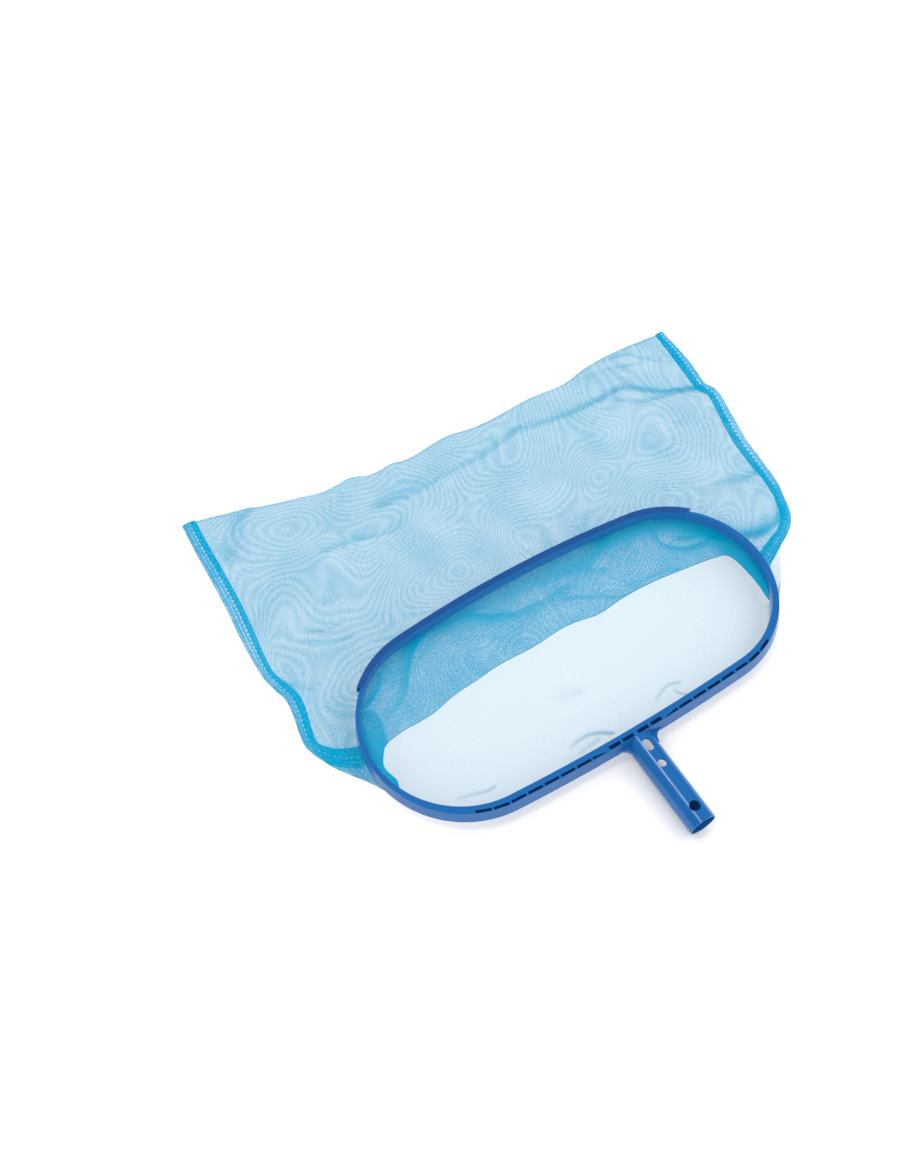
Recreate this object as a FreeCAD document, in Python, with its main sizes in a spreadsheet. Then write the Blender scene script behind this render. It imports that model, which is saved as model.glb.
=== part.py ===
import FreeCAD, Part
import Sketcher
import math
import os

# Leaf skimmer net: a moulded hoop with a pole socket and a scraper lip, and a two-panel mesh bag.
#
# Frame: millimetres, +Z up, as the net lies on a floor.  The origin is the centre of the
# pole socket's mouth, +Y runs from the mouth along the socket towards the far edge of the
# bag, and +X runs along the hoop's long side.

DIMENSIONS = (
    # pole socket
    ("bore_radius", 15.1),
    ("bore_length", 78.0),
    ("core_radius", 13.6),
    ("socket_radius", 16.4),
    ("socket_length", 119.0),
    ("button_hole_y", 19.0),
    ("button_hole_radius", 6.3),
    ("round_hole_y", 78.0),
    ("round_hole_radius", 4.9),
    ("long_hole_start", 101.5),
    ("long_hole_end", 106.5),
    ("long_hole_radius", 5.2),
    ("hole_depth", 10.0),
    ("relief_start", 79.6),
    ("relief_half_width", 15.2),
    ("relief_roof", -2.0),
    ("rib_turn", 20.0),
    ("rib_start", 27.0),
    ("rib_width", 1.0),
    ("rib_root", 15.8),
    ("rib_height", 1.0),
    ("web_foot", 103.4),
    ("web_reach", 28.9),
    ("web_radius", 12.0),
    ("web_height", 5.0),
    # hoop outline: two bowed bars joined by two round ends
    ("hoop_shift", -3.8),
    ("hoop_centre", 245.5),
    ("end_centre", 150.6),
    ("end_radius", 121.5),
    ("near_bow", 2500.0),
    ("far_bow", 1460.0),
    # hoop section
    ("hoop_foot", 1.4),
    ("hoop_top", 16.4),
    ("shell", 1.2),
    ("near_width", 10.7),
    ("end_width", 5.8),
    ("far_width", 5.5),
    ("near_flare", 4.3),
    ("end_flare", 2.0),
    ("far_flare", 1.9),
    ("edge_round", 0.8),
    # slots, spaced along the near bar from its middle
    ("slot_inset", 0.8),
    ("slot_depth", 9.0),
    ("slot_width", 3.1),
    ("slot_length", 18.0),
    ("slot_tip", 0.4),
    ("slot_pitch", 21.0),
    ("first_slot", 70.0),
    ("tapered_slot", 49.6),
    ("wide_slot", 10.4),
    ("wide_slot_pitch", 18.0),
    ("wide_slot_width", 4.6),
    ("wide_slot_length", 15.0),
    # scraper lip
    ("lip_depth", 3.3),
    ("lip_cover", 3.9),
    ("lip_top", 17.3),
    ("lip_height", 10.3),
    ("lip_start", 334.0),
    ("lip_round", 0.7),
    # the hoop's channel, with the mouth hem and rim cord inside it
    ("channel_near_inset", 6.0),
    ("hem_near_inset", 6.4),
    ("hem_inset", 1.4),
    ("hem_width", 2.8),
    ("hem_foot", 0.4),
    ("cord_radius", 1.0),
    ("cord_drop", 1.4),
    # mesh bag
    ("floor", -16.4),
    ("cloth", 1.2),
    ("skirt_run", 12.0),
    ("skirt_end", 249.0),
    ("binding_width", 16.0),
    ("binding_height", 2.4),
    ("fold_y", 280.0),
    ("fold_wall", 2.0),
    ("fold_low", -4.4),
    ("settle_y", 560.0),
    ("reach", 700.0),
)

NARROW_SLOTS_PER_SIDE = 7
WIDE_SLOTS_PER_SIDE = 2
TOLERANCE = 1e-3

# The lying bag's plan: each side from the hoop to a far corner, and the far edge between the corners.
LEFT_EDGE = ((-266, 207), (-298, 262), (-320, 340), (-317, 382), (-322, 470), (-311, 658))
LEFT_SEAM = ((-272, 268), (-304, 300), (-320, 340), (-317, 382), (-322, 470), (-311, 658))
RIGHT_EDGE = ((272, 203), (311, 243), (360, 289), (379, 354), (397, 495), (405, 609))
RIGHT_SEAM = ((279, 231), (311, 243), (360, 289), (379, 354), (397, 495), (405, 609))
FAR_EDGE = ((-311, 658), (-211, 640), (-92, 619), (47, 612), (129, 605), (285, 614), (405, 609))

nodes = {}


def fill_sheet():
    """The spreadsheet every size is bound to."""
    cells = doc.addObject("Spreadsheet::Sheet", "sheet")
    for row, (alias, value) in enumerate(DIMENSIONS, start=1):
        cells.set("A%d" % row, alias)
        cells.set("B%d" % row, str(value))
        cells.setAlias("B%d" % row, alias)
    doc.recompute()
    return cells


def number(alias):
    return float(sheet.get(alias))


def terms_of(*aliases):
    """A sum of dimensions as (factor, alias) terms; an alias led by '-' counts negative."""
    return [(-1.0, alias[1:]) if alias.startswith("-") else (1.0, alias) for alias in aliases]


def scaled(factor, terms):
    return [(factor * weight, alias) for weight, alias in terms]


def value_of(terms):
    return sum(weight * number(alias) for weight, alias in terms)


def expression_of(terms):
    return " + ".join("%g * sheet.%s" % term for term in terms)


class Outline:
    """A closed outline of two bowed bars and two round ends, set inward from the hoop's top edge.

    near, end and far are the insets at the near bar, the ends and the far bar, as terms.
    """

    def __init__(self, near=(), end=(), far=()):
        near, end, far = list(near), list(end), list(far)
        both = scaled(0.5, near) + scaled(0.5, far)
        self.terms = {
            "end_radius": terms_of("end_radius") + scaled(-1, both),
            "end_centre": terms_of("end_centre") + both + scaled(-1, end),
            "middle": terms_of("hoop_centre") + scaled(0.5, near) + scaled(-0.5, far),
            "near_bow": terms_of("near_bow") + scaled(-1, near),
            "far_bow": terms_of("far_bow") + scaled(-1, far),
        }

    def arcs(self):
        """The four arcs as (centre x, centre y, radius, start angle, end angle), from the near bar on."""
        size = {key: value_of(terms) for key, terms in self.terms.items()}
        reach, middle, radius = size["end_centre"], size["middle"], size["end_radius"]
        near_lift = math.sqrt((size["near_bow"] - radius) ** 2 - reach**2)
        far_drop = math.sqrt((size["far_bow"] - radius) ** 2 - reach**2)
        near_turn = math.atan2(reach, near_lift)
        far_turn = math.atan2(reach, far_drop)
        quarter = math.pi / 2
        axis = number("hoop_shift")
        return (
            (axis, middle + near_lift, size["near_bow"], -quarter - near_turn, -quarter + near_turn),
            (axis + reach, middle, radius, -quarter + near_turn, quarter - far_turn),
            (axis, middle - far_drop, size["far_bow"], quarter - far_turn, quarter + far_turn),
            (axis - reach, middle, radius, quarter + far_turn, 3 * quarter - near_turn),
        )

    def draw(self, sketch):
        """Add the outline to a sketch, fully bound to the sheet."""
        near = sketch.GeometryCount
        right, far, left = near + 1, near + 2, near + 3
        for x, y, radius, start, end in self.arcs():
            circle = Part.Circle(FreeCAD.Vector(x, y, 0), FreeCAD.Vector(0, 0, 1), radius)
            sketch.addGeometry(Part.ArcOfCircle(circle, start, end), False)
        for one, two in ((near, right), (right, far), (far, left), (left, near)):
            sketch.addConstraint(Sketcher.Constraint("Tangent", one, 2, two, 1))
        sketch.addConstraint(Sketcher.Constraint("Horizontal", right, 3, left, 3))
        sketch.addConstraint(Sketcher.Constraint("Equal", right, left))
        for arc, key in ((right, "end_radius"), (near, "near_bow"), (far, "far_bow")):
            drive(sketch, self.terms[key], "Radius", arc)
        reach, shift = self.terms["end_centre"], terms_of("hoop_shift")
        drive(sketch, shift + reach, "DistanceX", -1, 1, right, 3)
        drive(sketch, shift + scaled(-1, reach), "DistanceX", -1, 1, left, 3)
        drive(sketch, self.terms["middle"], "DistanceY", -1, 1, right, 3)


def drive(sketch, terms, kind, *where):
    """Add a dimension to a sketch whose value follows the sheet."""
    index = sketch.addConstraint(Sketcher.Constraint(kind, *where, value_of(terms)))
    sketch.setExpression("Constraints[%d]" % index, expression_of(terms))


def new_sketch(body, name, plane, height=()):
    """A sketch on one of the body's own planes, raised above it by the height's terms."""
    sketch = body.newObject("Sketcher::SketchObject", name)
    support = next(item for item in body.Origin.OriginFeatures if item.Role == plane)
    sketch.AttachmentSupport = [(support, "")]
    sketch.MapMode = "FlatFace"
    if height:
        sketch.setExpression("AttachmentOffset.Base.z", expression_of(height))
    return sketch


def outline_sketch(body, name, height, *outlines):
    sketch = new_sketch(body, name, "XY_Plane", height)
    for outline in outlines:
        outline.draw(sketch)
    return sketch


def add_pad(body, name, profile, length, reverse=False):
    feature = body.newObject("PartDesign::Pad", name)
    feature.Profile = profile
    feature.Reversed = reverse
    feature.setExpression("Length", expression_of(length))
    return feature


def add_pocket(body, name, profile, length=(), both_ways=False):
    """Cut a profile downwards: by the length's terms, or through everything."""
    feature = body.newObject("PartDesign::Pocket", name)
    feature.Profile = profile
    if length:
        feature.setExpression("Length", expression_of(length))
    else:
        feature.Type = "ThroughAll"
        feature.Midplane = both_ways
    return feature


def add_loft(body, kind, name, low, high):
    feature = body.newObject("PartDesign::%sLoft" % kind, name)
    feature.Profile = low
    feature.Sections = [high]
    feature.Ruled = True
    return feature


def add_rounding(body, name, feature, radius, chosen):
    """Round the feature's edges whose vertices all satisfy the chosen test."""
    doc.recompute()
    edges = []
    for index, edge in enumerate(feature.Shape.Edges, start=1):
        if edge.Vertexes and all(chosen(vertex.Point) for vertex in edge.Vertexes):
            edges.append("Edge%d" % index)
    rounding = body.newObject("PartDesign::Fillet", name)
    rounding.Base = (feature, edges)
    rounding.setExpression("Radius", expression_of(radius))
    return rounding


def draw_box(sketch, left, right, low, high):
    """A rectangle between four lines, each given as terms from the sketch's origin."""
    x0, x1, y0, y1 = (value_of(terms) for terms in (left, right, low, high))
    first = sketch.GeometryCount
    corners = [FreeCAD.Vector(x, y, 0) for x, y in ((x0, y0), (x1, y0), (x1, y1), (x0, y1))]
    for index in range(4):
        sketch.addGeometry(Part.LineSegment(corners[index], corners[(index + 1) % 4]), False)
    for index in range(4):
        after = first + (index + 1) % 4
        sketch.addConstraint(Sketcher.Constraint("Coincident", first + index, 2, after, 1))
        kind = "Horizontal" if index % 2 == 0 else "Vertical"
        sketch.addConstraint(Sketcher.Constraint(kind, first + index))
    for kind, point, terms in (
        ("DistanceX", 1, left),
        ("DistanceX", 2, right),
        ("DistanceY", 1, low),
    ):
        drive(sketch, terms, kind, -1, 1, first, point)
    drive(sketch, high, "DistanceY", -1, 1, first + 2, 1)


def draw_circle(sketch, radius, across=(), along=()):
    """A circle whose centre lies across and along from the sketch's origin, on its axes by default."""
    centre = FreeCAD.Vector(value_of(across), value_of(along), 0)
    circle = Part.Circle(centre, FreeCAD.Vector(0, 0, 1), value_of(radius))
    index = sketch.addGeometry(circle, False)
    drive(sketch, radius, "Radius", index)
    for kind, axis, distance in (("DistanceX", -2, across), ("DistanceY", -1, along)):
        if distance:
            drive(sketch, distance, kind, -1, 1, index, 3)
        else:
            sketch.addConstraint(Sketcher.Constraint("PointOnObject", index, 3, axis))


def draw_stadium(sketch, radius, start, end):
    """A slot with round ends along the sketch's upright axis, from one end's centre to the other's."""
    half, low, high = (value_of(terms) for terms in (radius, start, end))
    up = FreeCAD.Vector(0, 0, 1)
    far_circle = Part.Circle(FreeCAD.Vector(0, high, 0), up, half)
    near_circle = Part.Circle(FreeCAD.Vector(0, low, 0), up, half)
    sketch.addGeometry(Part.ArcOfCircle(far_circle, 0, math.pi), False)
    sketch.addGeometry(Part.LineSegment(FreeCAD.Vector(-half, high, 0), FreeCAD.Vector(-half, low, 0)), False)
    sketch.addGeometry(Part.ArcOfCircle(near_circle, math.pi, 2 * math.pi), False)
    sketch.addGeometry(Part.LineSegment(FreeCAD.Vector(half, low, 0), FreeCAD.Vector(half, high, 0)), False)
    for index in range(4):
        sketch.addConstraint(Sketcher.Constraint("Tangent", index, 2, (index + 1) % 4, 1))
    for index in (1, 3):
        sketch.addConstraint(Sketcher.Constraint("Vertical", index))
    sketch.addConstraint(Sketcher.Constraint("PointOnObject", 0, 3, -2))
    drive(sketch, radius, "Radius", 0)
    drive(sketch, end, "DistanceY", -1, 1, 0, 3)
    drive(sketch, start, "DistanceY", -1, 1, 2, 3)


def draw_loop(sketch, *curves):
    """A closed loop of free curves, each through its own points and starting where the last one ends."""
    for points in curves:
        poles = [FreeCAD.Vector(x, y, 0) for x, y in points]
        if len(poles) > 2:
            curve = Part.BSplineCurve()
            curve.interpolate(poles)
        else:
            curve = Part.LineSegment(poles[0], poles[1])
        index = sketch.addGeometry(curve, False)
        sketch.addConstraint(Sketcher.Constraint("Block", index))


def keep(node, shape_object):
    """Name the finished object of a sub-part."""
    shape_object.Label = node
    nodes[node] = shape_object


TOP_EDGE = Outline()
FOOT_INSET = (terms_of("-near_flare"), terms_of("-end_flare"), terms_of("-far_flare"))
CHANNEL_FOOT = (
    terms_of("channel_near_inset"),
    terms_of("-end_flare", "shell"),
    terms_of("-far_flare", "shell"),
)
CHANNEL_ROOF = (terms_of("channel_near_inset"), terms_of("shell"), terms_of("shell"))
RAIL_WIDTH = (terms_of("near_width"), terms_of("end_width"), terms_of("far_width"))
HEM_INSET = (terms_of("hem_near_inset"), terms_of("hem_inset"), terms_of("hem_inset"))


def inset(insets, *extra):
    """An outline at some insets, all moved inward by the extra dimensions."""
    return Outline(*(list(terms) + terms_of(*extra) for terms in insets))


def add_envelope(body):
    """The hoop's outer form as a solid, without its opening."""
    low = outline_sketch(body, "foot_outline", terms_of("hoop_foot"), inset(FOOT_INSET))
    high = outline_sketch(body, "top_outline", terms_of("hoop_top"), TOP_EDGE)
    return add_loft(body, "Additive", "envelope", low, high)


def new_body(name):
    return doc.addObject("PartDesign::Body", name)


def hoop_blank():
    """The hoop before its slots are cut: flared outer wall, upright inner wall and the channel between.

    The near bar is solid outside its channel, where the slots go.
    """
    body = new_body("hoop_blank")
    add_envelope(body)
    roof = terms_of("hoop_top", "-shell")
    low = outline_sketch(body, "hollow_foot", terms_of("hoop_foot"), inset(CHANNEL_FOOT))
    high = outline_sketch(body, "hollow_roof", roof, inset(CHANNEL_ROOF))
    add_loft(body, "Subtractive", "hollow", low, high)
    wall = outline_sketch(
        body, "inner_wall_outline", terms_of("hoop_foot"), inset(RAIL_WIDTH, "-shell"), inset(RAIL_WIDTH)
    )
    add_pad(body, "inner_wall", wall, terms_of("hoop_top", "-hoop_foot"))
    opening = outline_sketch(body, "opening_outline", terms_of("hoop_top"), inset(RAIL_WIDTH))
    cut = add_pocket(body, "opening", opening, both_ways=True)
    level = number("hoop_top")
    add_rounding(
        body,
        "top_rounding",
        cut,
        terms_of("edge_round"),
        lambda point: abs(point.z - level) < TOLERANCE,
    )
    return body


def near_edge_point(distance):
    """A point of the hoop's top edge at a distance along it from the middle of the near bar.

    Returns the point and the direction that points into the rail there.
    """
    near, right = TOP_EDGE.arcs()[:2]
    side = math.copysign(1, distance)
    straight = near[2] * (right[3] + math.pi / 2)
    if abs(distance) <= straight:
        x, y, radius, angle = near[0], near[1], near[2], abs(distance) / near[2] - math.pi / 2
    else:
        x, y, radius = right[:3]
        angle = right[3] + (abs(distance) - straight) / radius
    across = x - near[0] + radius * math.cos(angle)
    inward = FreeCAD.Vector(-side * math.cos(angle), -math.sin(angle), 0)
    return FreeCAD.Vector(near[0] + side * across, y + radius * math.sin(angle), 0), inward


def place_cutter(cutter, distance, along, across, quarter_turns=0):
    """Stand a slot cutter on the rail: its corner lies along and across from the edge point."""
    edge, inward = near_edge_point(distance)
    tangent = FreeCAD.Vector(inward.y, -inward.x, 0)
    corner = edge + tangent * along + inward * across
    corner.z = number("hoop_top") - number("slot_depth")
    turn = math.degrees(math.atan2(tangent.y, tangent.x)) + 90 * quarter_turns
    cutter.Placement = FreeCAD.Placement(corner, FreeCAD.Rotation(FreeCAD.Vector(0, 0, 1), turn))
    return cutter


def plain_slot(name, distance, kind):
    cutter = doc.addObject("Part::Box", name)
    cutter.setExpression("Length", "sheet.%s_length" % kind)
    cutter.setExpression("Width", "sheet.%s_width" % kind)
    cutter.setExpression("Height", "sheet.slot_depth + sheet.shell")
    return place_cutter(cutter, distance, -number("%s_length" % kind) / 2, number("slot_inset"))


def tapered_slot(name, side):
    """A slot that narrows to a tip on its outer side, towards the socket."""
    cutter = doc.addObject("Part::Wedge", name)
    for limit in ("Xmin", "Ymin", "Zmin", "X2min", "Z2min"):
        setattr(cutter, limit, 0)
    cutter.setExpression("Xmax", "sheet.slot_width")
    cutter.setExpression("Ymax", "sheet.slot_length")
    cutter.setExpression("Zmax", "sheet.slot_depth + sheet.shell")
    cutter.setExpression("Z2max", "sheet.slot_depth + sheet.shell")
    across = number("slot_inset")
    if side > 0:
        cutter.setExpression("X2max", "sheet.slot_tip")
    else:
        cutter.setExpression("X2min", "sheet.slot_width - sheet.slot_tip")
        cutter.setExpression("X2max", "sheet.slot_width")
        across += number("slot_width")
    along = side * number("slot_length") / 2
    return place_cutter(cutter, side * number("tapered_slot"), along, across, side)


def make_hoop_frame():
    """The hoop with its row of deep slots along the near bar."""
    cutters = []
    for side, mark in ((1, "right"), (-1, "left")):
        cutters.append(tapered_slot("tapered_slot_%s" % mark, side))
        for count in range(WIDE_SLOTS_PER_SIDE):
            distance = side * (number("wide_slot") + count * number("wide_slot_pitch"))
            cutters.append(plain_slot("wide_slot_%s_%d" % (mark, count), distance, "wide_slot"))
        for count in range(NARROW_SLOTS_PER_SIDE):
            distance = side * (number("first_slot") + count * number("slot_pitch"))
            cutters.append(plain_slot("slot_%s_%d" % (mark, count), distance, "slot"))
    keep("hoop_frame", subtract("hoop_frame", hoop_blank(), fuse("slot_cutters", cutters)))


def fuse(name, shapes):
    joined = doc.addObject("Part::MultiFuse", name)
    joined.Shapes = shapes
    return joined


def subtract(name, base, tool):
    cut = doc.addObject("Part::Cut", name)
    cut.Base = base
    cut.Tool = tool
    return cut


def rail_trim(name):
    """A copy of the hoop's outer form, to trim a neighbouring part against."""
    body = new_body(name)
    add_envelope(body)
    return body


def socket_blank():
    """The tube with its webs, holes, rib and open underside, before it is trimmed at the hoop."""
    body = new_body("socket_blank")
    mouth = new_sketch(body, "mouth_outline", "XZ_Plane")
    draw_circle(mouth, terms_of("socket_radius"))
    add_pad(body, "tube", mouth, terms_of("socket_length"), reverse=True)
    webs = new_sketch(body, "web_outline", "XY_Plane", terms_of("hoop_foot"))
    web_end = terms_of("socket_length")
    draw_box(webs, terms_of("-web_reach"), terms_of("web_reach"), terms_of("web_foot"), web_end)
    add_pad(body, "webs", webs, terms_of("web_height"))
    hollows = new_sketch(body, "web_hollow_outline", "XY_Plane", terms_of("hoop_foot", "web_height"))
    for reach in (terms_of("web_reach"), terms_of("-web_reach")):
        draw_circle(hollows, terms_of("web_radius"), reach, terms_of("web_foot"))
    add_pocket(body, "web_hollows", hollows, terms_of("web_height"))
    bore = new_sketch(body, "bore_outline", "XZ_Plane")
    draw_circle(bore, terms_of("bore_radius"))
    add_pocket(body, "bore", bore, terms_of("bore_length"))
    core = new_sketch(body, "core_outline", "XZ_Plane")
    draw_circle(core, terms_of("core_radius"))
    add_pocket(body, "core", core, both_ways=True)
    for name in ("button_hole", "round_hole"):
        hole = new_sketch(body, name + "_outline", "XY_Plane", terms_of("socket_radius"))
        draw_circle(hole, terms_of(name + "_radius"), along=terms_of(name + "_y"))
        add_pocket(body, name, hole, terms_of("hole_depth"))
    long_hole = new_sketch(body, "long_hole_outline", "XY_Plane", terms_of("socket_radius"))
    ends = terms_of("long_hole_start"), terms_of("long_hole_end")
    draw_stadium(long_hole, terms_of("long_hole_radius"), *ends)
    add_pocket(body, "long_hole", long_hole, terms_of("hole_depth"))
    relief = new_sketch(body, "relief_outline", "XY_Plane", terms_of("relief_roof"))
    draw_box(
        relief,
        terms_of("-relief_half_width"),
        terms_of("relief_half_width"),
        terms_of("relief_start"),
        terms_of("socket_length"),
    )
    add_pocket(body, "relief", relief)
    return body


def socket_rib():
    """The thin raised rib along the tube's shoulder, from behind the button hole to the hoop."""
    rib = doc.addObject("Part::Box", "rib")
    rib.setExpression("Length", "sheet.rib_width")
    rib.setExpression("Width", "sheet.socket_length - sheet.rib_start")
    rib.setExpression("Height", "sheet.rib_height")
    turn = FreeCAD.Rotation(FreeCAD.Vector(0, 1, 0), number("rib_turn"))
    corner = turn.multVec(FreeCAD.Vector(-number("rib_width") / 2, number("rib_start"), number("rib_root")))
    rib.Placement = FreeCAD.Placement(corner, turn)
    return rib


def make_pole_socket():
    whole = fuse("socket_with_rib", [socket_blank(), socket_rib()])
    keep("pole_socket", subtract("pole_socket", whole, rail_trim("socket_trim")))


def make_scraper_lip():
    """The strip clipped over the far bar: its outside and most of its top, with rounded edges."""
    body = new_body("lip_blank")
    outer = Outline(end=terms_of("-lip_depth"), far=terms_of("-lip_depth"))
    inner = Outline(terms_of("lip_cover"), terms_of("lip_cover"), terms_of("lip_cover"))
    sketch = outline_sketch(body, "lip_outline", terms_of("lip_top", "-lip_height"), outer, inner)
    add_pad(body, "lip", sketch, terms_of("lip_height"))
    near_half = new_sketch(body, "lip_end_outline", "XY_Plane")
    draw_box(near_half, terms_of("-reach"), terms_of("reach"), terms_of("-reach"), terms_of("lip_start"))
    ends = add_pocket(body, "lip_ends", near_half, both_ways=True)
    level, end = number("lip_top"), number("lip_start")
    add_rounding(
        body,
        "lip_rounding",
        ends,
        terms_of("lip_round"),
        lambda point: abs(point.z - level) < TOLERANCE or abs(point.y - end) < TOLERANCE,
    )
    keep("scraper_lip", subtract("scraper_lip", body, rail_trim("lip_trim")))


def make_rim_cord():
    """The bead inside the mouth hem: one piece of ring for each bar and each end."""
    middle = Outline(*(terms + scaled(0.5, terms_of("hem_width")) for terms in HEM_INSET))
    height = number("hoop_top") - number("shell") - number("cord_drop")
    pieces = []
    for index, (x, y, radius, start, end) in enumerate(middle.arcs()):
        piece = doc.addObject("Part::Torus", "cord_piece_%d" % index)
        piece.Radius1 = radius
        piece.setExpression("Radius2", "sheet.cord_radius")
        piece.Angle3 = math.degrees(end - start)
        turn = FreeCAD.Rotation(FreeCAD.Vector(0, 0, 1), math.degrees(start))
        piece.Placement = FreeCAD.Placement(FreeCAD.Vector(x, y, height), turn)
        pieces.append(piece)
    keep("rim_cord", fuse("rim_cord", pieces))


def make_mouth_hem():
    """The mesh band folded round the cord, standing in the hoop's channel."""
    body = new_body("hem_blank")
    band = outline_sketch(
        body, "hem_outline", terms_of("hem_foot"), inset(HEM_INSET), inset(HEM_INSET, "hem_width")
    )
    add_pad(body, "hem_band", band, terms_of("hoop_top", "-shell", "-hem_foot"))
    keep("mouth_hem", subtract("mouth_hem", body, nodes["rim_cord"]))


def make_lower_panel():
    """The lower mesh panel: it drops from the near half of the mouth to the floor and lies out flat."""
    body = new_body("bag_lower_panel")
    floor = terms_of("floor")
    for kind, extra in (("Additive", ()), ("Subtractive", ("cloth",))):
        mark = kind.lower()
        low = outline_sketch(body, mark + "_skirt_foot", floor, inset(HEM_INSET, "skirt_run", *extra))
        high = outline_sketch(body, mark + "_skirt_top", terms_of("hem_foot"), inset(HEM_INSET, *extra))
        add_loft(body, kind, mark + "_skirt", low, high)
    far_half = new_sketch(body, "skirt_end_outline", "XY_Plane")
    draw_box(far_half, terms_of("-reach"), terms_of("reach"), terms_of("skirt_end"), terms_of("reach"))
    add_pocket(body, "skirt_end", far_half, both_ways=True)
    mouth = outline_sketch(body, "mouth_floor_outline", floor, inset(HEM_INSET, "skirt_run"))
    add_pad(body, "mouth_floor", mouth, terms_of("cloth"))
    plan = new_sketch(body, "bag_floor_outline", "XY_Plane", floor)
    draw_loop(plan, LEFT_EDGE, FAR_EDGE, RIGHT_EDGE[::-1], (RIGHT_EDGE[0], LEFT_EDGE[0]))
    add_pad(body, "bag_floor", plan, terms_of("cloth"))
    keep("bag_lower_panel", body)


def draw_chain(sketch, corners):
    """A closed chain of straight lines; each corner is a pair of terms driven from the sheet."""
    points = [FreeCAD.Vector(value_of(x), value_of(y), 0) for x, y in corners]
    count = len(points)
    for index in range(count):
        sketch.addGeometry(Part.LineSegment(points[index], points[(index + 1) % count]), False)
    for index, (x, y) in enumerate(corners):
        sketch.addConstraint(Sketcher.Constraint("Coincident", index, 2, (index + 1) % count, 1))
        drive(sketch, x, "DistanceX", -1, 1, index, 1)
        drive(sketch, y, "DistanceY", -1, 1, index, 1)


def make_upper_panel():
    """The upper mesh panel: forward from the far bar to a fold, then back beneath itself to the far edge."""
    body = new_body("bag_upper_panel")
    section = new_sketch(body, "back_ply_section", "YZ_Plane")
    rest = terms_of("floor", "cloth")
    corners = (
        (terms_of("fold_y"), terms_of("fold_low")),
        (terms_of("settle_y"), rest),
        (terms_of("reach"), rest),
        (terms_of("reach"), rest + terms_of("cloth")),
        (terms_of("settle_y"), rest + terms_of("cloth")),
        (terms_of("fold_y", "fold_wall"), terms_of("fold_low", "cloth")),
        (terms_of("fold_y", "fold_wall"), terms_of("hem_foot")),
        (terms_of("fold_y"), terms_of("hem_foot")),
    )
    draw_chain(section, corners)
    back = add_pad(body, "back_ply", section, scaled(2, terms_of("reach")))
    back.Midplane = True
    plan = new_sketch(body, "back_ply_outline", "XY_Plane")
    everything = terms_of("reach", "reach")
    draw_box(plan, scaled(-1, everything), everything, scaled(-1, everything), everything)
    left = moved(LEFT_SEAM, number("binding_width"))
    right = moved(RIGHT_SEAM, -number("binding_width"))
    far = left[-1:] + FAR_EDGE[1:-1] + right[-1:]
    draw_loop(plan, left, far, right[::-1], (right[0], left[0]))
    add_pocket(body, "back_ply_sides", plan, both_ways=True)
    front = outline_sketch(body, "front_ply_outline", terms_of("hem_foot", "-cloth"), inset(HEM_INSET))
    add_pad(body, "front_ply", front, terms_of("cloth"))
    near_half = new_sketch(body, "fold_outline", "XY_Plane")
    draw_box(near_half, terms_of("-reach"), terms_of("reach"), terms_of("-reach"), terms_of("fold_y"))
    add_pocket(body, "fold", near_half, both_ways=True)
    keep("bag_upper_panel", body)


def moved(points, shift):
    return tuple((x + shift, y) for x, y in points)


def make_binding(node, seam, shift):
    """A folded strip along one of the bag's sides, lying on the lower panel."""
    body = new_body(node)
    inner = moved(seam, shift)
    plan = new_sketch(body, node + "_outline", "XY_Plane", terms_of("floor", "cloth"))
    draw_loop(plan, seam, (seam[-1], inner[-1]), inner[::-1], (inner[0], seam[0]))
    add_pad(body, node + "_strip", plan, terms_of("binding_height"))
    keep(node, body)


def check_and_export():
    doc.recompute()
    for item in doc.Objects:
        if "Invalid" in item.State or "Error" in item.State:
            raise RuntimeError("%s did not build: %s" % (item.Label, item.State))
    os.makedirs("parts", exist_ok=True)
    for node, item in nodes.items():
        shape = item.Shape
        if shape.isNull() or not shape.isValid() or len(shape.Solids) != 1:
            raise RuntimeError("%s is not one valid solid" % node)
        shape.exportStep("parts/%s.step" % node)


doc = FreeCAD.newDocument("leaf_skimmer_net")
sheet = fill_sheet()
make_hoop_frame()
make_pole_socket()
make_scraper_lip()
make_rim_cord()
make_mouth_hem()
make_lower_panel()
make_upper_panel()
make_binding("left_seam_binding", LEFT_SEAM, number("binding_width"))
make_binding("right_seam_binding", RIGHT_SEAM, -number("binding_width"))
check_and_export()
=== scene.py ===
"""Leaf skimmer net on a pale floor, seen from above its handle's left side.

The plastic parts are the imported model's own.  The bag's panels, bindings and hem are
shaped here as sheets of fine mesh.  Plan positions are millimetres from the hoop's
centre, x to the right along the hoop and y towards the bag; heights are millimetres
above the floor.
"""
import math

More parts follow.
